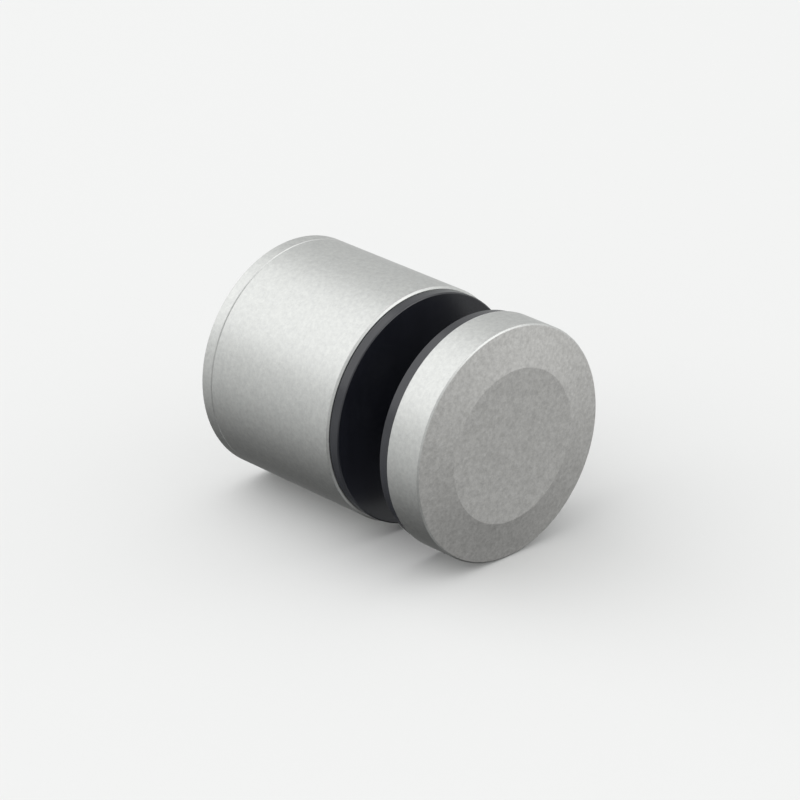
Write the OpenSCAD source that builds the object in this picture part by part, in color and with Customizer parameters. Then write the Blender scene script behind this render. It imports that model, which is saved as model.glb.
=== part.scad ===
// Glass panel standoff: a turned point fixing that holds a drilled glass pane off a wall.
// Millimetres. The wall face of the plate is at y = 0, the axis runs out of the wall
// along -Y and +Z is up. A distance out from the wall is called a station.

/* [Body] */
// Outer diameter of the wall plate, barrel and cap
outer_d = 50; // [46:1:80]
// Thickness of the wall plate's rim
plate_t = 3; // [2:0.5:5]
// Length of the barrel
barrel_len = 35; // [32:1:80]
// Barrel wall outside the spigot thread
barrel_wall = 5.95; // [5:0.05:7]
// Barrel wall round the hollow ahead of the spigot
chamber_wall = 8.5; // [7:0.5:9]

/* [Wall plate] */
// Length of the threaded spigot ahead of the plate's rim
spigot_len = 11; // [8:0.5:12]
// Spigot wall round the nut pocket
spigot_wall = 5; // [4:0.5:6]
// Depth of metal under the nut pocket
floor_t = 6; // [5:0.5:8]
// Hole for the wall fixing
wall_hole_d = 10.5; // [6:0.5:12]

/* [Glass clamp] */
// Space between the gaskets, for the glass
glass_gap = 12; // [8:0.5:20]
// Thickness of each gasket
gasket_t = 2.5; // [1.5:0.5:4]
// Step from the metal in to the gasket's edge
gasket_inset = 0.5; // [0.4:0.1:1]
// Outer diameter of the bush that lines the hole in the glass
bush_d = 15; // [13:0.5:20]
// How much shorter the bush is than the space for the glass
bush_short = 3; // [1:0.5:4]

/* [Stud] */
// Diameter of the clamp stud
stud_d = 10; // [6:1:10]
// Length of the stud inside the cap
stud_in_cap = 7; // [5:0.5:8]
// Length of the barrel's front thread
stud_in_barrel = 14; // [10:0.5:16]
// Length of the stud behind the barrel's front thread
stud_tail = 2; // [1:0.5:4]
// Hexagon key size of the stud, across its flats
stud_key = 5; // [3:0.5:5]
// Depth of the stud's key socket
stud_key_depth = 5; // [3:0.5:8]

/* [Cap] */
// Length of the cap's cylindrical side
cap_len = 9; // [8:0.5:16]
// Height of the cap's flat centre above its rim
crown_h = 1.2; // [0.6:0.1:3]
// Width of the sloping ring between the cap's rim and its flat centre
crown_ring = 8.4; // [4:0.2:12]

/* [Lock screw] */
// Diameter of the lock screw
lock_d = 5; // [4:1:6]
// Length of the lock screw
lock_len = 5; // [4:0.5:5]
// Station of the lock screw ahead of the plate's rim
lock_ahead = 6; // [4:0.5:7]
// Hexagon key size of the lock screw, across its flats
lock_key = 2.5; // [2:0.5:3]
// Depth of the lock screw's key socket
lock_key_depth = 2.5; // [1.5:0.5:3]

/* [Edges] */
// Bevel on the barrel's front edge
barrel_break = 0.4; // [0.2:0.1:0.6]
// Bevel on the cap's two edges
cap_break = 0.3; // [0.2:0.1:0.6]
// Bevel on the plate's back edge
back_break = 0.2; // [0.1:0.1:0.5]
// Bevel on both sides of the seam between plate and barrel
seam_break = 0.2; // [0.1:0.05:0.4]
// Bevel on the edges of the rubber and the bush
soft_break = 0.2; // [0.1:0.05:0.3]
// Lead-in bevel of the large thread
spigot_lead = 1; // [0.5:0.1:1.5]
// Lead-in bevel of the stud and its threads
stud_lead = 0.8; // [0.4:0.1:1]
// Lead-in bevel of the lock screw and its thread
lock_lead = 0.4; // [0.2:0.1:0.6]
// Depth of the thread run-out grooves
groove_depth = 0.8; // [0.5:0.1:1.2]
// Width of the thread run-out grooves
groove_w = 2; // [1:0.5:2.5]

/* [Fits] */
// Radial gap between two mating threads that turn
thread_gap = 0.05; // [0.02:0.01:0.1]
// Radial gap between the stud and the cap it is bonded into
bond_gap = 0.02; // [0.01:0.01:0.05]
// Radial gap between the stud and the bush
pass_gap = 0.3; // [0.2:0.1:0.5]
// Radial gap between the bush and the holes in the gaskets
bush_gap = 1; // [0.8:0.1:1.5]
// Gap between the lock screw's tip and the spigot
lock_gap = 0.3; // [0.1:0.1:0.5]

/* [Hidden] */

metal = [0.71, 0.72, 0.71];
steel = [0.62, 0.63, 0.65];
rubber = [0.10, 0.10, 0.12];
nylon = [0.09, 0.09, 0.10];

// Stations along the axis
plate_front = plate_t;
spigot_end = plate_front + spigot_len;
barrel_front = plate_front + barrel_len;
chamber_end = barrel_front - stud_in_barrel;
glass_back = barrel_front + gasket_t;
bush_end = glass_back + glass_gap - bush_short;
glass_front = glass_back + glass_gap;
cap_back = glass_front + gasket_t;
cap_rim = cap_back + cap_len;
crown_top = cap_rim + crown_h;
stud_front = cap_back + stud_in_cap;
stud_rear = chamber_end - stud_tail;
lock_station = plate_front + lock_ahead;

// Radii
outer_r = outer_d / 2;
stud_r = stud_d / 2;
spigot_bore_r = outer_r - barrel_wall;
spigot_r = spigot_bore_r - thread_gap;
pocket_r = spigot_r - spigot_wall;
chamber_r = outer_r - chamber_wall;
wall_hole_r = wall_hole_d / 2;
crown_flat_r = outer_r - cap_break - crown_ring;
gasket_r = outer_r - gasket_inset;
gasket_hole_r = bush_d / 2 + bush_gap;
stud_bore_r = stud_r + thread_gap;
cap_bore_r = stud_r + bond_gap;
lock_r = lock_d / 2;
lock_bore_r = lock_r + thread_gap;
lock_tip = spigot_r + lock_gap;

// How far a cutter runs past the face that it opens
overrun = 1;
$fn = 120;

// A turned piece: the outline's points are [radius, station]
module turned(outline)
    rotate([90, 0, 0]) rotate_extrude() polygon(outline);

// A ring with bevelled edges, between two radii and two stations
module bevelled_ring(inner, outer, from, to, bevel)
    turned([[inner + bevel, from], [outer - bevel, from], [outer, from + bevel],
            [outer, to - bevel], [outer - bevel, to], [inner + bevel, to],
            [inner, to - bevel], [inner, from + bevel]]);

// A threaded rod with a bevel at each end, standing on the plane z = 0
module bevelled_rod(radius, length, bevel)
    rotate_extrude() polygon([[0, 0], [radius - bevel, 0], [radius, bevel],
        [radius, length - bevel], [radius - bevel, length], [0, length]]);

// A hexagon key socket, cut down from the plane z = 0
module key_socket(across_flats, depth)
    translate([0, 0, -depth])
        cylinder(d = across_flats / cos(30), h = depth + overrun, $fn = 6);

// Rim against the wall, with a hollow threaded spigot that carries the barrel
module wall_plate()
    color(metal) turned([
        [wall_hole_r, 0],
        [outer_r - back_break, 0],
        [outer_r, back_break],
        [outer_r, plate_front - seam_break],
        [outer_r - seam_break, plate_front],
        [spigot_r - groove_depth, plate_front],
        [spigot_r - groove_depth, plate_front + groove_w - groove_depth],
        [spigot_r, plate_front + groove_w],
        [spigot_r, spigot_end - spigot_lead],
        [spigot_r - spigot_lead, spigot_end],
        [pocket_r, spigot_end],
        [pocket_r, floor_t],
        [wall_hole_r, floor_t]]);

// Open at the back for the spigot, with a tapped front wall for the stud
module barrel_body()
    turned([
        [spigot_bore_r + spigot_lead, plate_front],
        [outer_r - seam_break, plate_front],
        [outer_r, plate_front + seam_break],
        [outer_r, barrel_front - barrel_break],
        [outer_r - barrel_break, barrel_front],
        [stud_bore_r + stud_lead, barrel_front],
        [stud_bore_r, barrel_front - stud_lead],
        [stud_bore_r, chamber_end + stud_lead],
        [stud_bore_r + stud_lead, chamber_end],
        [chamber_r, chamber_end],
        [chamber_r, spigot_end + groove_w],
        [spigot_bore_r + groove_depth, spigot_end + groove_w],
        [spigot_bore_r + groove_depth, spigot_end],
        [spigot_bore_r, spigot_end - groove_depth],
        [spigot_bore_r, plate_front + spigot_lead]]);

// The radial hole under the barrel, bevelled where it comes out
module lock_hole()
    translate([0, -lock_station, 0]) mirror([0, 0, 1]) {
        translate([0, 0, spigot_r - overrun])
            cylinder(r = lock_bore_r, h = barrel_wall + thread_gap + 2 * overrun);
        translate([0, 0, outer_r - lock_lead])
            cylinder(r1 = lock_bore_r, r2 = lock_bore_r + lock_lead + overrun,
                     h = lock_lead + overrun);
    }

module barrel()
    color(metal) difference() {
        barrel_body();
        lock_hole();
    }

// Headless screw that bears on the spigot and stops the barrel from turning
module lock_screw()
    color(steel) translate([0, -lock_station, 0]) mirror([0, 0, 1])
        translate([0, 0, lock_tip]) difference() {
            bevelled_rod(lock_r, lock_len, lock_lead);
            translate([0, 0, lock_len]) key_socket(lock_key, lock_key_depth);
        }

// A washer of sheet rubber that the bush passes through
module gasket(from)
    color(rubber)
        bevelled_ring(gasket_hole_r, gasket_r, from, from + gasket_t, soft_break);

module rear_gasket() gasket(barrel_front);

module front_gasket() gasket(glass_front);

// Stands on the barrel and keeps the stud off the edge of the hole in the glass
module glass_bush()
    color(nylon)
        bevelled_ring(stud_r + pass_gap, bush_d / 2, barrel_front, bush_end, soft_break);

// Bonded into the cap, and screwed into the barrel with it
module clamp_stud()
    color(steel) translate([0, -stud_rear, 0]) rotate([90, 0, 0]) difference() {
        bevelled_rod(stud_r, stud_front - stud_rear, stud_lead);
        mirror([0, 0, 1]) key_socket(stud_key, stud_key_depth);
    }

// One turned piece: a shallow cone rises from the rim to a flat centre
module cap()
    color(metal) turned([
        [cap_bore_r + stud_lead, cap_back],
        [outer_r - cap_break, cap_back],
        [outer_r, cap_back + cap_break],
        [outer_r, cap_rim - cap_break],
        [outer_r - cap_break, cap_rim],
        [crown_flat_r, crown_top],
        [0, crown_top],
        [0, stud_front],
        [cap_bore_r, stud_front],
        [cap_bore_r, cap_back + stud_lead]]);

wall_plate();
barrel();
lock_screw();
rear_gasket();
glass_bush();
front_gasket();
clamp_stud();
cap();
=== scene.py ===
"""Looks of the glass panel standoff.

Turned pieces with cut threads, their finishes, and a pale studio.
"""

import math

import bmesh
import bpy
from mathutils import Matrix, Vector


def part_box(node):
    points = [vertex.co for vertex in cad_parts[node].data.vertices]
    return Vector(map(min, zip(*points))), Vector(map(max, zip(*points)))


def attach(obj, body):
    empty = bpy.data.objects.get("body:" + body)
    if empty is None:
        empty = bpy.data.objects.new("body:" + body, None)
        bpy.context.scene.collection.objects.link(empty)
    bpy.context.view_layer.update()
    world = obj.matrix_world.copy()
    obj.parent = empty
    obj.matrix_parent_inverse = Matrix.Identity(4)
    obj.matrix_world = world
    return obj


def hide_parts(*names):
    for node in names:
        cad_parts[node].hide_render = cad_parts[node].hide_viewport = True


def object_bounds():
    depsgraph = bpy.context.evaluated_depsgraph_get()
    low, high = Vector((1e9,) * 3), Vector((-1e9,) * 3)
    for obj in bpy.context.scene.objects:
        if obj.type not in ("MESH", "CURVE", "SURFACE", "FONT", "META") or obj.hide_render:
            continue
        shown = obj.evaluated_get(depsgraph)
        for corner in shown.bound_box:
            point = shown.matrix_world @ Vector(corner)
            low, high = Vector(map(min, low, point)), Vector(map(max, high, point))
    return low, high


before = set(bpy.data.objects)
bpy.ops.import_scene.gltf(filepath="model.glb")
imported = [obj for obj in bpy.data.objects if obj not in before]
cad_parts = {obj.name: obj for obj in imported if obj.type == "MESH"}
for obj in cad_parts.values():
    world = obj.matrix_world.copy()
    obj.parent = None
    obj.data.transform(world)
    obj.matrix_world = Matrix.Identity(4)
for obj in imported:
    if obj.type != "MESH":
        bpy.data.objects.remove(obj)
cad_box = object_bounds()

MM = 0.001


def stations(node):
    """How far out from the wall a node starts and ends, in millimetres."""
    low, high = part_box(node)
    return round(-high.y / MM, 3), round(-low.y / MM, 3)


def outer_radius(node):
    """The radius of a turned node, in millimetres."""
    return round(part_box(node)[1].x / MM, 3)


def linear(code):
    """An sRGB hex code as a linear colour."""
    parts = [int(code[i : i + 2], 16) / 255 for i in (1, 3, 5)]
    return tuple(
        p / 12.92 if p <= 0.04045 else ((p + 0.055) / 1.055) ** 2.4 for p in parts
    ) + (1.0,)


def add(tree, kind, inputs=None, **settings):
    """Adds a node, gives it its settings, and sets or links its inputs."""
    made = tree.nodes.new(kind)
    for name, value in settings.items():
        setattr(made, name, value)
    for name, value in (inputs or {}).items():
        if isinstance(value, bpy.types.NodeSocket):
            tree.links.new(value, made.inputs[name])
        else:
            made.inputs[name].default_value = value
    return made


def stand_off(made, target, azimuth, elevation, distance):
    """Puts an object at a distance from a target and turns it to look there.

    The angles are in degrees. Azimuth 0 is in front, and 90 to the right.
    """
    turn, rise = math.radians(azimuth), math.radians(elevation)
    outwards = Vector(
        (
            math.sin(turn) * math.cos(rise),
            -math.cos(turn) * math.cos(rise),
            math.sin(rise),
        )
    )
    made.location = target + outwards * distance
    made.rotation_mode = "QUATERNION"
    made.rotation_quaternion = (-outwards).to_track_quat("-Z", "Y")


# ---------------------------------------------------------------- camera, in metres

AIM = Vector((-0.00041, -0.03305, -0.00038))

camera = bpy.data.objects.new("camera", bpy.data.cameras.new("camera"))
bpy.context.scene.collection.objects.link(camera)
bpy.context.scene.camera = camera
stand_off(camera, AIM, azimuth=-43.46, elevation=24.34, distance=0.8311)
camera.data.sensor_width = 36
camera.data.lens = 184.05
camera.data.clip_start, camera.data.clip_end = 0.01, 100


# ---------------------------------------------------------------- sizes, in millimetres


def ridge_height(pitch):
    """How far a thread's ridge stands out from its foot: 0.8 mm on a pitch of 1.5 mm."""
    return pitch * 8 / 15


# Radial gaps of a thread that turns, of the bonded stud, of the stud in the bush, and of
# the bush in the gaskets
THREAD_GAP = 0.05
BOND_GAP = 0.02
PASS_GAP = 0.3
BUSH_GAP = 1.0

# Bevels and grooves
BACK_BREAK = 0.2
SEAM_BREAK = 0.2
BARREL_BREAK = 0.4
CAP_BREAK = 0.3
SOFT_BREAK = 0.2
SPIGOT_BREAK = 0.3
ROD_BREAK = 0.2
SPIGOT_LEAD = 1.0
STUD_LEAD = 0.8
LOCK_LEAD = 0.4
GROOVE_DEPTH = 0.8
GROOVE_WIDTH = 2.0

# Walls and lengths that the nodes' boxes don't tell
BARREL_WALL = 5.95
CHAMBER_WALL = 8.5
SPIGOT_WALL = 5.0
STUD_IN_BARREL = 14.0
CROWN_RING = 8.4
CROWN_HEIGHT = 1.2

# Radii
OUTER = outer_radius("wall_plate")
GASKET = outer_radius("rear_gasket")
BUSH = outer_radius("glass_bush")
STUD = outer_radius("clamp_stud")
LOCK = outer_radius("lock_screw")
WALL_HOLE = 5.25
SPIGOT_BORE = OUTER - BARREL_WALL
SPIGOT = SPIGOT_BORE - THREAD_GAP
POCKET = SPIGOT - SPIGOT_WALL
CHAMBER = OUTER - CHAMBER_WALL
STUD_BORE = STUD + THREAD_GAP
LOCK_BORE = LOCK + THREAD_GAP
CAP_BORE = STUD + BOND_GAP
BUSH_BORE = STUD + PASS_GAP
GASKET_HOLE = BUSH + BUSH_GAP
CROWN_FLAT = OUTER - CAP_BREAK - CROWN_RING

# Stations along the main axis
POCKET_FLOOR = 6.0
PLATE_FRONT, BARREL_FRONT = stations("barrel")
SPIGOT_END = stations("wall_plate")[1]
CHAMBER_END = BARREL_FRONT - STUD_IN_BARREL
BUSH_END = stations("glass_bush")[1]
CAP_BACK, CROWN_TOP = stations("cap")
CAP_RIM = CROWN_TOP - CROWN_HEIGHT
STUD_REAR, STUD_FRONT = stations("clamp_stud")
LOCK_STATION = sum(stations("lock_screw")) / 2

# Stations of the lock screw's ends, down from the main axis
LOCK_TIP = round(-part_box("lock_screw")[1].z / MM, 3)
LOCK_OUT = round(-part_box("lock_screw")[0].z / MM, 3)

# Roundings of corners
SHARP = 0
SEAM_EDGE = 0.08
MACHINED = 0.1
CAP_EDGE = 0.12
BARREL_EDGE = 0.15
HOLE_EDGE = 0.15
PUNCHED_EDGE = 0.15
POCKET_EDGE = 0.2
GROOVE_FILLET = 0.2
POCKET_FILLET = 0.4
CHAMBER_FILLET = 0.5
CROWN_CREASE = 0.6

# Hexagon keys, across their flats, and the depths of their sockets
STUD_KEY, STUD_KEY_DEPTH = 5.0, 5.0
LOCK_KEY, LOCK_KEY_DEPTH = 2.5, 2.5

# Stations where threads start and end. Of two that mate, the second starts half a pitch
# before the first, so that its ridges lie between the other's.
PITCH, LOCK_PITCH = 1.5, 0.8
SPIGOT_THREAD = PLATE_FRONT + 1.7, SPIGOT_END - 0.2
BORE_THREAD = SPIGOT_THREAD[0] - PITCH / 2, SPIGOT_END - GROOVE_DEPTH
FRONT_THREAD = CHAMBER_END + 0.25, BARREL_FRONT - 0.5
STUD_THREAD = FRONT_THREAD[0] - PITCH / 2, STUD_FRONT - 0.3
LOCK_THREAD = LOCK_TIP + 0.3, LOCK_OUT - 0.2

# Radii of the threads' feet
SPIGOT_ROOT = SPIGOT - ridge_height(PITCH)
STUD_ROOT = STUD - ridge_height(PITCH)
LOCK_ROOT = LOCK - ridge_height(LOCK_PITCH)

# How far a cutter runs past the face that it opens
OVERRUN = 1.0
# The barrel's side is divided this far on both sides of the lock screw's middle, so that
# only the faces between are cut
LOCK_BAND = 4.0


# ---------------------------------------------------------------- finishes


def surface(name):
    """A new material with its Principled shader, and coordinates in millimetres."""
    material = bpy.data.materials.new(name)
    material.use_nodes = True
    tree = material.node_tree
    shader = tree.nodes["Principled BSDF"]
    object_place = add(tree, "ShaderNodeTexCoord").outputs["Object"]
    in_mm = add(
        tree, "ShaderNodeMapping", {"Vector": object_place, "Scale": (1 / MM,) * 3}
    ).outputs["Vector"]
    return material, tree, shader, in_mm


def anodised_aluminium(name, dark, light):
    """Aluminium, blasted with glass beads and clear anodised.

    The eye gets a soft grey sheen with a fine frosted grain.
    """
    material, tree, shader, in_mm = surface(name)
    # the dents of 0.2 mm beads are too fine to show, so they are drawn 0.9 mm across
    dents = add(
        tree,
        "ShaderNodeTexNoise",
        {"Vector": in_mm, "Scale": 1 / 0.9, "Detail": 4.0, "Roughness": 0.8},
    ).outputs["Fac"]
    grain = add(
        tree, "ShaderNodeMapRange", {"Value": dents, "From Min": 0.3, "From Max": 0.7}
    ).outputs["Result"]
    tone = add(
        tree,
        "ShaderNodeMix",
        {"Factor": grain, "A": linear(dark), "B": linear(light)},
        data_type="RGBA",
    )
    rough = add(
        tree, "ShaderNodeMapRange", {"Value": grain, "To Min": 0.42, "To Max": 0.48}
    )
    bump = add(
        tree, "ShaderNodeBump", {"Height": dents, "Strength": 0.25, "Distance": 0.02 * MM}
    )
    shader.inputs["Metallic"].default_value = 1.0
    tree.links.new(tone.outputs["Result"], shader.inputs["Base Color"])
    tree.links.new(rough.outputs["Result"], shader.inputs["Roughness"])
    tree.links.new(bump.outputs["Normal"], shader.inputs["Normal"])
    return material


def lined_finish(name, line_size, detail, dark, light, strength, depth):
    """A finish whose tone and height follow fine lines.

    The lines' size along X, Y and Z and the depth of their relief are in millimetres.
    """
    material, tree, shader, in_mm = surface(name)
    stretched = add(
        tree,
        "ShaderNodeMapping",
        {"Vector": in_mm, "Scale": [1 / size for size in line_size]},
    ).outputs["Vector"]
    lines = add(
        tree, "ShaderNodeTexNoise", {"Vector": stretched, "Scale": 1.0, "Detail": detail}
    ).outputs["Fac"]
    tone = add(
        tree,
        "ShaderNodeMix",
        {"Factor": lines, "A": linear(dark), "B": linear(light)},
        data_type="RGBA",
    )
    bump = add(
        tree,
        "ShaderNodeBump",
        {"Height": lines, "Strength": strength, "Distance": depth * MM},
    )
    tree.links.new(tone.outputs["Result"], shader.inputs["Base Color"])
    tree.links.new(bump.outputs["Normal"], shader.inputs["Normal"])
    return material, shader


def stainless_steel():
    """Stainless steel, turned.

    It is brighter than the aluminium, with fine rings round the axis.
    """
    # rings 0.12 mm apart, from the feed of a fine cut
    material, shader = lined_finish(
        "turned_stainless_steel",
        line_size=(3.3, 0.12, 3.3),
        detail=3.0,
        dark="#A9AAAC",
        light="#C3C4C6",
        strength=0.2,
        depth=0.01,
    )
    shader.inputs["Metallic"].default_value = 1.0
    shader.inputs["Roughness"].default_value = 0.28
    return material


def sheet_rubber():
    """EPDM sheet rubber, calendered and punched.

    It is blue-black, with faint rolling lines and a soft shine.
    """
    # rolling lines 0.4 mm apart that run up the sheet
    material, shader = lined_finish(
        "calendered_epdm_rubber",
        line_size=(0.4, 0.4, 8),
        detail=4.0,
        dark="#111218",
        light="#25272F",
        strength=0.4,
        depth=0.02,
    )
    shader.inputs["Roughness"].default_value = 0.25
    shader.inputs["IOR"].default_value = 1.55
    return material


def black_nylon():
    """Nylon 6 with carbon black, turned from rod.

    It is black, with fine rings from the tool and a soft shine.
    """
    # rings 0.2 mm apart, from the feed of the cut
    material, shader = lined_finish(
        "turned_black_nylon",
        line_size=(5, 0.2, 5),
        detail=3.0,
        dark="#131315",
        light="#242427",
        strength=0.2,
        depth=0.02,
    )
    shader.inputs["Roughness"].default_value = 0.3
    shader.inputs["IOR"].default_value = 1.53
    return material


ALUMINIUM = anodised_aluminium("bead_blasted_anodised_aluminium", "#B8B9B8", "#CDCECC")
# coarser blasting gives the cap's face more contrast
FACE_ALUMINIUM = anodised_aluminium(
    "coarse_blasted_anodised_aluminium", "#B3B2B0", "#D6D5D3"
)
STEEL = stainless_steel()
RUBBER = sheet_rubber()
NYLON = black_nylon()


# ---------------------------------------------------------------- lathe and thread


def tree_of(name, sockets):
    """An empty geometry tree with named inputs. sockets maps a name to its kind."""
    tree = bpy.data.node_groups.new(name, "GeometryNodeTree")
    tree.interface.new_socket(
        "Geometry", in_out="OUTPUT", socket_type="NodeSocketGeometry"
    )
    for label, kind in sockets.items():
        tree.interface.new_socket(label, in_out="INPUT", socket_type="NodeSocket" + kind)
    return tree, add(tree, "NodeGroupInput").outputs


def close_tree(tree, mesh, given):
    """Turns the piece to its axis, moves it to its place and gives it its finish."""
    placed = add(
        tree,
        "GeometryNodeTransform",
        {
            "Geometry": mesh,
            "Translation": given["Place"],
            "Rotation": given["Tilt"],
        },
    )
    real = add(tree, "GeometryNodeRealizeInstances", {"Geometry": placed.outputs[0]})
    painted = add(
        tree,
        "GeometryNodeSetMaterial",
        {"Geometry": real.outputs[0], "Material": given["Finish"]},
    )
    add(tree, "NodeGroupOutput", {"Geometry": painted.outputs[0]})


def lathe_tree():
    """Carries an outline once round the axis.

    The outline lies in the XY plane: a point's radius is its X, and its station is -Y.
    """
    tree, given = tree_of(
        "lathe",
        {
            "Outline": "Geometry",
            "Segments": "Int",
            "Tilt": "Rotation",
            "Place": "Vector",
            "Finish": "Material",
        },
    )
    # the outline is carried on a circle of 1 mm radius, so it starts 1 mm nearer the axis
    inset = add(
        tree,
        "GeometryNodeTransform",
        {"Geometry": given["Outline"], "Translation": (-MM, 0, 0)},
    )
    circle = add(
        tree,
        "GeometryNodeCurvePrimitiveCircle",
        {"Resolution": given["Segments"], "Radius": MM},
    )
    swept = add(
        tree,
        "GeometryNodeCurveToMesh",
        {"Curve": circle.outputs["Curve"], "Profile Curve": inset.outputs[0]},
    )
    close_tree(tree, swept.outputs[0], given)
    return tree


def thread_tree():
    """A right-hand thread: one ridge on a helix, which rises out of the metal at both ends."""
    tree, given = tree_of(
        "thread",
        {
            "Geometry": "Geometry",
            "Radius": "Float",
            "Pitch": "Float",
            "Turns": "Float",
            "Depth": "Float",
            "Base Width": "Float",
            "Crest Width": "Float",
            "Side": "Float",
            "Start Fade": "Float",
            "End Fade": "Float",
            "Steps": "Int",
            "Tilt": "Rotation",
            "Place": "Vector",
            "Finish": "Material",
        },
    )
    rise = add(
        tree,
        "ShaderNodeMath",
        {0: given["Pitch"], 1: given["Turns"]},
        operation="MULTIPLY",
    )
    helix = add(
        tree,
        "GeometryNodeCurveSpiral",
        {
            "Resolution": given["Steps"],
            "Rotations": given["Turns"],
            "Start Radius": given["Radius"],
            "End Radius": given["Radius"],
            "Height": rise.outputs[0],
            "Reverse": True,
        },
    )
    upright = add(
        tree, "GeometryNodeSetCurveNormal", {"Curve": helix.outputs[0]}, mode="Z_UP"
    )
    # turns done so far and turns still to come, as shares of the two fades
    along = add(tree, "GeometryNodeSplineParameter").outputs["Factor"]
    done = add(
        tree, "ShaderNodeMath", {0: along, 1: given["Turns"]}, operation="MULTIPLY"
    )
    left = add(
        tree,
        "ShaderNodeMath",
        {0: given["Turns"], 1: done.outputs[0]},
        operation="SUBTRACT",
    )
    rising = add(
        tree,
        "ShaderNodeMath",
        {0: done.outputs[0], 1: given["Start Fade"]},
        operation="DIVIDE",
    )
    falling = add(
        tree,
        "ShaderNodeMath",
        {0: left.outputs[0], 1: given["End Fade"]},
        operation="DIVIDE",
    )
    lower = add(
        tree,
        "ShaderNodeMath",
        {0: rising.outputs[0], 1: falling.outputs[0]},
        operation="MINIMUM",
    )
    # the section never shrinks to a point, so that the ridge's ends keep their faces
    height = add(
        tree, "ShaderNodeClamp", {"Value": lower.outputs[0], "Min": 0.02, "Max": 1.0}
    )
    # the ridge's section, drawn from its foot to its crest, outwards or inwards
    section = add(
        tree,
        "GeometryNodeCurvePrimitiveQuadrilateral",
        {
            "Height": given["Depth"],
            "Bottom Width": given["Base Width"],
            "Top Width": given["Crest Width"],
            "Offset": 0.0,
        },
        mode="TRAPEZOID",
    )
    reach = add(
        tree,
        "ShaderNodeMath",
        {0: given["Depth"], 1: given["Side"]},
        operation="MULTIPLY",
    )
    half_reach = add(
        tree, "ShaderNodeMath", {0: reach.outputs[0], 1: 0.5}, operation="MULTIPLY"
    )
    outwards = add(tree, "ShaderNodeCombineXYZ", {"X": half_reach.outputs[0]})
    quarter = add(
        tree,
        "ShaderNodeMath",
        {0: given["Side"], 1: -math.pi / 2},
        operation="MULTIPLY",
    )
    euler = add(tree, "ShaderNodeCombineXYZ", {"Z": quarter.outputs[0]})
    turn = add(tree, "FunctionNodeEulerToRotation", {"Euler": euler.outputs[0]})
    turned_section = add(
        tree,
        "GeometryNodeTransform",
        {
            "Geometry": section.outputs[0],
            "Translation": outwards.outputs[0],
            "Rotation": turn.outputs[0],
        },
    )
    ridge = add(
        tree,
        "GeometryNodeCurveToMesh",
        {
            "Curve": upright.outputs[0],
            "Profile Curve": turned_section.outputs[0],
            "Scale": height.outputs[0],
            "Fill Caps": True,
        },
    )
    close_tree(tree, ridge.outputs[0], given)
    return tree


LATHE, THREAD = lathe_tree(), thread_tree()
# Turns a piece from +Z to the standoff's axis, or to straight down
MAIN_AXIS, DOWN = (math.pi / 2, 0, 0), (math.pi, 0, 0)
# Facets round a turned piece. A turn of its thread has half as many steps.
LARGE, MIDDLE, SMALL = 192, 96, 64
HEXAGON = 6
# Points closer than this are one, in metres
MERGED = 1e-7


def grown(tree, base, **values):
    """Runs a geometry tree on a scratch object and returns the plain mesh that it makes."""
    scratch = bpy.data.objects.new("scratch", base)
    bpy.context.scene.collection.objects.link(scratch)
    modifier = scratch.modifiers.new(tree.name, "NODES")
    modifier.node_group = tree
    sockets = {
        s.name: s.identifier
        for s in tree.interface.items_tree
        if s.item_type == "SOCKET" and s.in_out == "INPUT"
    }
    for label, value in values.items():
        modifier[sockets[label.replace("_", " ")]] = value
    scratch.update_tag()
    evaluated = scratch.evaluated_get(bpy.context.evaluated_depsgraph_get())
    mesh = bpy.data.meshes.new_from_object(evaluated)
    scratch.modifiers.clear()
    bpy.data.objects.remove(scratch)
    work = bmesh.new()
    work.from_mesh(mesh)
    bmesh.ops.remove_doubles(work, verts=work.verts, dist=MERGED)
    bmesh.ops.dissolve_degenerate(work, edges=work.edges, dist=MERGED)
    bmesh.ops.recalc_face_normals(work, faces=work.faces)
    work.to_mesh(mesh)
    work.free()
    return mesh


# The most of a corner's shorter side that its rounding takes, and with its flat run
ROUNDING_SHARE, FLAT_SHARE = 0.45, 0.49
# Length of the flat run, as a share of the rounding
FLAT_RUN = 0.4
# A rounding has a facet for each of these steps in degrees, and at least this many
ARC_STEP, ARC_LEAST = 15, 3


def eased(corners):
    """Rounds the corners of an outline, and says whether it is closed.

    A corner is (radius, station, rounding), all in millimetres. Each rounded corner gets a
    short flat run on both sides, so that the shading of a wide face stays flat up to its
    edge.
    """
    points = []
    closed = corners[0][0] > 0 or corners[-1][0] > 0
    for i, (radius, station, rounding) in enumerate(corners):
        corner = Vector((radius, station))
        if rounding == SHARP or (not closed and i in (0, len(corners) - 1)):
            points.append(corner)
            continue
        before = Vector(corners[i - 1][:2]) - corner
        after = Vector(corners[(i + 1) % len(corners)][:2]) - corner
        shorter = min(before.length, after.length)
        half_turn = (math.pi - before.angle(after)) / 2
        setback = rounding * math.tan(half_turn)
        room = shorter * ROUNDING_SHARE
        if setback > room:
            setback, rounding = room, room / math.tan(half_turn)
        hold = min(setback + rounding * FLAT_RUN, shorter * FLAT_SHARE)
        before.normalize()
        after.normalize()
        centre = corner + (before + after).normalized() * (
            rounding / math.cos(half_turn)
        )
        first = corner + before * setback - centre
        last = corner + after * setback - centre
        angle = first.angle(last)
        facets = max(ARC_LEAST, round(math.degrees(half_turn * 2) / ARC_STEP))
        points.append(corner + before * hold)
        for step in range(facets + 1):
            share = step / facets
            points.append(
                centre
                + first * (math.sin((1 - share) * angle) / math.sin(angle))
                + last * (math.sin(share * angle) / math.sin(angle))
            )
        points.append(corner + after * hold)
    return points, closed


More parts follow.
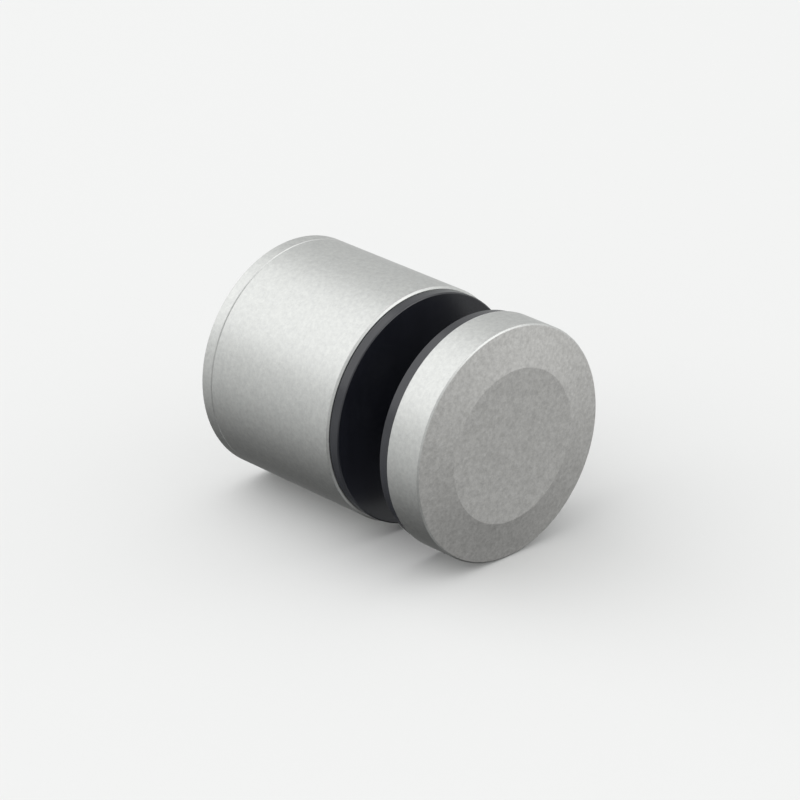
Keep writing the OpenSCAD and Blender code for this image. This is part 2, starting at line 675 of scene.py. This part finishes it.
def turned(corners, finish, segments=LARGE, tilt=MAIN_AXIS, place=(0, 0, 0)):
    """A turned mesh from an outline of (radius, station, rounding) corners."""
    points, closed = eased(corners)
    curve = bpy.data.curves.new("outline", "CURVE")
    spline = curve.splines.new("POLY")
    spline.points.add(len(points) - 1)
    for point, (radius, station) in zip(spline.points, points):
        point.co = (radius * MM, -station * MM, 0, 1)
    spline.use_cyclic_u = closed
    return grown(
        LATHE, curve, Segments=segments, Tilt=tilt, Place=place, Finish=finish
    )


def bevelled_ring(inner, outer, start, end, rounding, finish, segments=LARGE):
    """A turned ring of rubber or nylon with bevelled edges."""
    corners = (
        (inner + SOFT_BREAK, start),
        (outer - SOFT_BREAK, start),
        (outer, start + SOFT_BREAK),
        (outer, end - SOFT_BREAK),
        (outer - SOFT_BREAK, end),
        (inner + SOFT_BREAK, end),
        (inner, end - SOFT_BREAK),
        (inner, start + SOFT_BREAK),
    )
    return turned([(*corner, rounding) for corner in corners], finish, segments)


def bevelled_rod(radius, start, end, **placed):
    """A turned steel rod with a small bevel at each end."""
    corners = [
        (0, start, SHARP),
        (radius - ROD_BREAK, start, MACHINED),
        (radius, start + ROD_BREAK, MACHINED),
        (radius, end - ROD_BREAK, MACHINED),
        (radius - ROD_BREAK, end, MACHINED),
        (0, end, SHARP),
    ]
    return turned(corners, STEEL, **placed)


def key_socket(across_flats, start, end, **placed):
    """The hexagon that cuts a key socket."""
    corner = across_flats / 2 / math.cos(math.pi / 6)
    corners = [
        (0, start, SHARP),
        (corner, start, SHARP),
        (corner, end, SHARP),
        (0, end, SHARP),
    ]
    return turned(corners, STEEL, segments=HEXAGON, **placed)


# Turns over which a thread's ridge rises to its full height, and a slower run-out
FADE, SLOW_FADE = 0.4, 0.7


def threaded(
    radius,
    pitch,
    start,
    end,
    finish,
    inwards=False,
    steps=LARGE // 2,
    end_fade=FADE,
    tilt=MAIN_AXIS,
    place=(0, 0, 0),
    axis=(0, -1, 0),
):
    """A 60 degree thread on the radius of its foot, from one station to another."""
    depth = ridge_height(pitch)
    # the crest is a quarter of the pitch wide in a hole, and an eighth on a rod
    crest = pitch / (4 if inwards else 8)
    foot = Vector(place) + Vector(axis) * (start * MM)
    return grown(
        THREAD,
        bpy.data.meshes.new("thread"),
        Radius=radius * MM,
        Pitch=pitch * MM,
        Turns=(end - start) / pitch,
        Depth=depth * MM,
        Base_Width=(crest + 2 * depth * math.tan(math.pi / 6)) * MM,
        Crest_Width=crest * MM,
        Side=-1.0 if inwards else 1.0,
        Start_Fade=FADE,
        End_Fade=end_fade,
        Steps=steps,
        Tilt=tilt,
        Place=tuple(foot),
        Finish=finish,
    )


def cut(mesh, cutter):
    """The mesh with the cutter's shape taken out of it."""
    body = bpy.data.objects.new("scratch_body", mesh)
    tool = bpy.data.objects.new("scratch_tool", cutter)
    for scratch in (body, tool):
        bpy.context.scene.collection.objects.link(scratch)
    boolean = body.modifiers.new("cut", "BOOLEAN")
    boolean.operation, boolean.solver, boolean.object = "DIFFERENCE", "EXACT", tool
    evaluated = body.evaluated_get(bpy.context.evaluated_depsgraph_get())
    result = bpy.data.meshes.new_from_object(evaluated)
    body.modifiers.clear()
    for scratch in (body, tool):
        bpy.data.objects.remove(scratch)
    return result


# Edges that turn by more than this, in degrees, are shaded sharp
SHARP_TURN = 28


def piece(name, node, body, finish, slot, *meshes):
    """Joins meshes into one piece, which stands for its CAD node and rides on its body."""
    work = bmesh.new()
    for mesh in meshes:
        work.from_mesh(mesh)
    joined = bpy.data.meshes.new(name)
    work.to_mesh(joined)
    work.free()
    joined.materials.clear()
    joined.materials.append(finish)
    joined.polygons.foreach_set("material_index", [0] * len(joined.polygons))
    joined.shade_smooth()
    joined.set_sharp_from_angle(angle=math.radians(SHARP_TURN))
    made = bpy.data.objects.new(name, joined)
    bpy.context.scene.collection.objects.link(made)
    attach(made, body)
    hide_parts(node)
    return made


# ---------------------------------------------------------------- pieces

plate = turned(
    [
        (WALL_HOLE, 0, HOLE_EDGE),
        (OUTER - BACK_BREAK, 0, MACHINED),
        (OUTER, BACK_BREAK, MACHINED),
        (OUTER, PLATE_FRONT - SEAM_BREAK, SEAM_EDGE),
        (OUTER - SEAM_BREAK, PLATE_FRONT, SEAM_EDGE),
        (SPIGOT_ROOT, PLATE_FRONT, GROOVE_FILLET),
        (SPIGOT_ROOT, SPIGOT_END - SPIGOT_BREAK, MACHINED),
        (SPIGOT_ROOT - SPIGOT_BREAK, SPIGOT_END, MACHINED),
        (POCKET, SPIGOT_END, POCKET_EDGE),
        (POCKET, POCKET_FLOOR, POCKET_FILLET),
        (WALL_HOLE, POCKET_FLOOR, HOLE_EDGE),
    ],
    ALUMINIUM,
)
spigot_thread = threaded(SPIGOT_ROOT, PITCH, *SPIGOT_THREAD, ALUMINIUM, end_fade=SLOW_FADE)
piece(
    "plate_with_spigot",
    "wall_plate",
    "wall_plate",
    ALUMINIUM,
    "anodised_aluminium",
    plate,
    spigot_thread,
)

barrel = turned(
    [
        (SPIGOT_BORE + SPIGOT_LEAD, PLATE_FRONT, MACHINED),
        (OUTER - SEAM_BREAK, PLATE_FRONT, SEAM_EDGE),
        (OUTER, PLATE_FRONT + SEAM_BREAK, SEAM_EDGE),
        (OUTER, LOCK_STATION - LOCK_BAND, SHARP),
        (OUTER, LOCK_STATION + LOCK_BAND, SHARP),
        (OUTER, BARREL_FRONT - BARREL_BREAK, BARREL_EDGE),
        (OUTER - BARREL_BREAK, BARREL_FRONT, BARREL_EDGE),
        (STUD_BORE + STUD_LEAD, BARREL_FRONT, MACHINED),
        (STUD_BORE, BARREL_FRONT - STUD_LEAD, MACHINED),
        (STUD_BORE, CHAMBER_END + STUD_LEAD, MACHINED),
        (STUD_BORE + STUD_LEAD, CHAMBER_END, MACHINED),
        (CHAMBER, CHAMBER_END, CHAMBER_FILLET),
        (CHAMBER, SPIGOT_END + GROOVE_WIDTH, GROOVE_FILLET),
        (SPIGOT_BORE + GROOVE_DEPTH, SPIGOT_END + GROOVE_WIDTH, GROOVE_FILLET),
        (SPIGOT_BORE + GROOVE_DEPTH, SPIGOT_END, MACHINED),
        (SPIGOT_BORE, SPIGOT_END - GROOVE_DEPTH, MACHINED),
        (SPIGOT_BORE, PLATE_FRONT + SPIGOT_LEAD, MACHINED),
    ],
    ALUMINIUM,
)
at_lock = (0, -LOCK_STATION * MM, 0)
lock_hole = turned(
    [
        (0, SPIGOT - OVERRUN, SHARP),
        (LOCK_BORE, SPIGOT - OVERRUN, SHARP),
        (LOCK_BORE, OUTER - LOCK_LEAD, SHARP),
        (LOCK_BORE + LOCK_LEAD + OVERRUN, OUTER + OVERRUN, SHARP),
        (0, OUTER + OVERRUN, SHARP),
    ],
    ALUMINIUM,
    segments=SMALL,
    tilt=DOWN,
    place=at_lock,
)
bore_thread = threaded(SPIGOT_BORE, PITCH, *BORE_THREAD, ALUMINIUM, inwards=True)
front_thread = threaded(
    STUD_BORE, PITCH, *FRONT_THREAD, ALUMINIUM, inwards=True, steps=MIDDLE // 2
)
piece(
    "barrel_body",
    "barrel",
    "barrel",
    ALUMINIUM,
    "anodised_aluminium",
    cut(barrel, lock_hole),
    bore_thread,
    front_thread,
)

for name, node, body in (
    ("rear_gasket_ring", "rear_gasket", "glass_seat"),
    ("front_gasket_ring", "front_gasket", "front_gasket"),
):
    ring = bevelled_ring(GASKET_HOLE, GASKET, *stations(node), PUNCHED_EDGE, RUBBER)
    piece(name, node, body, RUBBER, "rubber", ring)

bush = bevelled_ring(BUSH_BORE, BUSH, BARREL_FRONT, BUSH_END, MACHINED, NYLON, MIDDLE)
piece("glass_hole_bush", "glass_bush", "glass_seat", NYLON, "nylon", bush)

cap = turned(
    [
        (CAP_BORE + STUD_LEAD, CAP_BACK, MACHINED),
        (OUTER - CAP_BREAK, CAP_BACK, CAP_EDGE),
        (OUTER, CAP_BACK + CAP_BREAK, CAP_EDGE),
        (OUTER, CAP_RIM - CAP_BREAK, CAP_EDGE),
        (OUTER - CAP_BREAK, CAP_RIM, CAP_EDGE),
        (CROWN_FLAT, CROWN_TOP, CROWN_CREASE),
        (0, CROWN_TOP, SHARP),
        (0, STUD_FRONT, SHARP),
        (CAP_BORE, STUD_FRONT, SHARP),
        (CAP_BORE, CAP_BACK + STUD_LEAD, MACHINED),
    ],
    ALUMINIUM,
)
crowned_cap = piece("crowned_cap", "cap", "cap", ALUMINIUM, "anodised_aluminium", cap)
crowned_cap.data.materials.append(FACE_ALUMINIUM)
for polygon in crowned_cap.data.polygons:
    if polygon.center.y < -CAP_RIM * MM:
        polygon.material_index = 1

stud = bevelled_rod(STUD_ROOT, STUD_REAR, STUD_FRONT, segments=MIDDLE)
stud_socket = key_socket(STUD_KEY, STUD_REAR - OVERRUN, STUD_REAR + STUD_KEY_DEPTH)
stud_thread = threaded(STUD_ROOT, PITCH, *STUD_THREAD, STEEL, steps=MIDDLE // 2)
piece(
    "clamp_stud_m10",
    "clamp_stud",
    "cap",
    STEEL,
    "stainless_steel",
    cut(stud, stud_socket),
    stud_thread,
)

lock = bevelled_rod(
    LOCK_ROOT, LOCK_TIP, LOCK_OUT, segments=SMALL, tilt=DOWN, place=at_lock
)
lock_socket = key_socket(
    LOCK_KEY, LOCK_OUT - LOCK_KEY_DEPTH, LOCK_OUT + OVERRUN, tilt=DOWN, place=at_lock
)
lock_thread = threaded(
    LOCK_ROOT,
    LOCK_PITCH,
    *LOCK_THREAD,
    STEEL,
    steps=SMALL // 2,
    tilt=DOWN,
    place=at_lock,
    axis=(0, 0, -1),
)
piece(
    "lock_screw_m5",
    "lock_screw",
    "lock_screw",
    STEEL,
    "stainless_steel",
    cut(lock, lock_socket),
    lock_thread,
)


# ---------------------------------------------------------------- studio, in metres

CENTRE = (cad_box[0] + cad_box[1]) / 2
# Just under the object
FLOOR_Z = cad_box[0].z - 0.05 * MM
FLOOR_RADIUS = 2.0


def matt_white():
    """Matt white sweep.

    From underneath it is clear, so that the object can be seen from below.
    """
    material = bpy.data.materials.new("matt_white_sweep")
    material.use_nodes = True
    tree = material.node_tree
    tree.nodes.clear()
    matt = add(tree, "ShaderNodeBsdfDiffuse", {"Color": linear("#E8E8E8")})
    clear = add(tree, "ShaderNodeBsdfTransparent")
    behind = add(tree, "ShaderNodeNewGeometry").outputs["Backfacing"]
    mixed = add(
        tree,
        "ShaderNodeMixShader",
        {0: behind, 1: matt.outputs[0], 2: clear.outputs[0]},
    )
    add(tree, "ShaderNodeOutputMaterial", {"Surface": mixed.outputs[0]})
    return material


def studio_floor():
    """A round floor, centred under the object."""
    mesh = bpy.data.meshes.new("floor")
    work = bmesh.new()
    bmesh.ops.create_circle(work, cap_ends=True, segments=MIDDLE, radius=FLOOR_RADIUS)
    bmesh.ops.translate(work, verts=work.verts, vec=(CENTRE.x, CENTRE.y, FLOOR_Z))
    work.to_mesh(mesh)
    work.free()
    mesh.materials.append(matt_white())
    floor = bpy.data.objects.new("floor", mesh)
    bpy.context.scene.collection.objects.link(floor)
    # metal mirrors the ground of the world in the floor's place
    floor.visible_glossy = False


def studio_world():
    """Pale sky, over a ground that darkens from just under the horizon to black below."""
    world = bpy.data.worlds.new("studio")
    world.use_nodes = True
    tree = world.node_tree
    direction = add(tree, "ShaderNodeTexCoord").outputs["Generated"]
    # the ground in front, where the camera stands, is a little darker than the ground behind
    lean = add(
        tree,
        "ShaderNodeVectorMath",
        {0: direction, 1: (0.06, 0.08, 1.0)},
        operation="DOT_PRODUCT",
    )
    level = add(
        tree,
        "ShaderNodeMapRange",
        {
            "Value": lean.outputs["Value"],
            "From Min": -0.75,
            "From Max": -0.12,
            "To Min": 0.0,
            "To Max": 0.86,
        },
    ).outputs["Result"]
    # soft patches: light off the floor in front and on both sides, a window low on the right,
    # and a dim corner behind
    for towards, edge, strength in (
        ((-0.24, -0.34, -0.91), 0.85, 0.5),
        ((-0.50, 0.66, -0.55), 0.8, 0.1),
        ((0.63, -0.56, -0.53), 0.8, 0.09),
        ((0.81, -0.57, 0.14), 0.88, 0.5),
        ((0.74, 0.66, -0.12), 0.8, -0.22),
    ):
        near = add(
            tree,
            "ShaderNodeVectorMath",
            {0: direction, 1: towards},
            operation="DOT_PRODUCT",
        )
        patch = add(
            tree,
            "ShaderNodeMapRange",
            {
                "Value": near.outputs["Value"],
                "From Min": edge,
                "From Max": 1.0,
                "To Min": 0.0,
                "To Max": strength,
            },
        )
        level = add(
            tree, "ShaderNodeMath", {0: level, 1: patch.outputs[0]}, operation="ADD"
        ).outputs[0]
    background = tree.nodes["Background"]
    background.inputs["Color"].default_value = linear("#FEFFFE")
    tree.links.new(level, background.inputs["Strength"])
    # without this, light from the ground would be sampled through the floor and lost
    world.cycles.sampling_method = "NONE"
    bpy.context.scene.world = world


def softbox(name, azimuth, elevation, distance, size, watts):
    """A soft lamp that looks at the object and isn't seen itself."""
    lamp = bpy.data.lights.new(name, "AREA")
    lamp.shape, lamp.size, lamp.size_y = "RECTANGLE", size[0], size[1]
    lamp.energy = watts
    made = bpy.data.objects.new(name, lamp)
    bpy.context.scene.collection.objects.link(made)
    stand_off(made, CENTRE, azimuth, elevation, distance)
    made.visible_camera = False
    return made


studio_floor()
studio_world()
softbox(
    "key_behind_left",
    azimuth=220,
    elevation=50,
    distance=9.6,
    size=(15.2, 13.6),
    watts=528.0,
)
edge_light = softbox(
    "above_in_front", azimuth=28, elevation=46, distance=1.2, size=(1.1, 0.5), watts=3.4
)
# only the bevels' shine catches this one, and the floor stays as it is
edge_light.visible_diffuse = False

bpy.context.scene.view_settings.view_transform = "Standard"
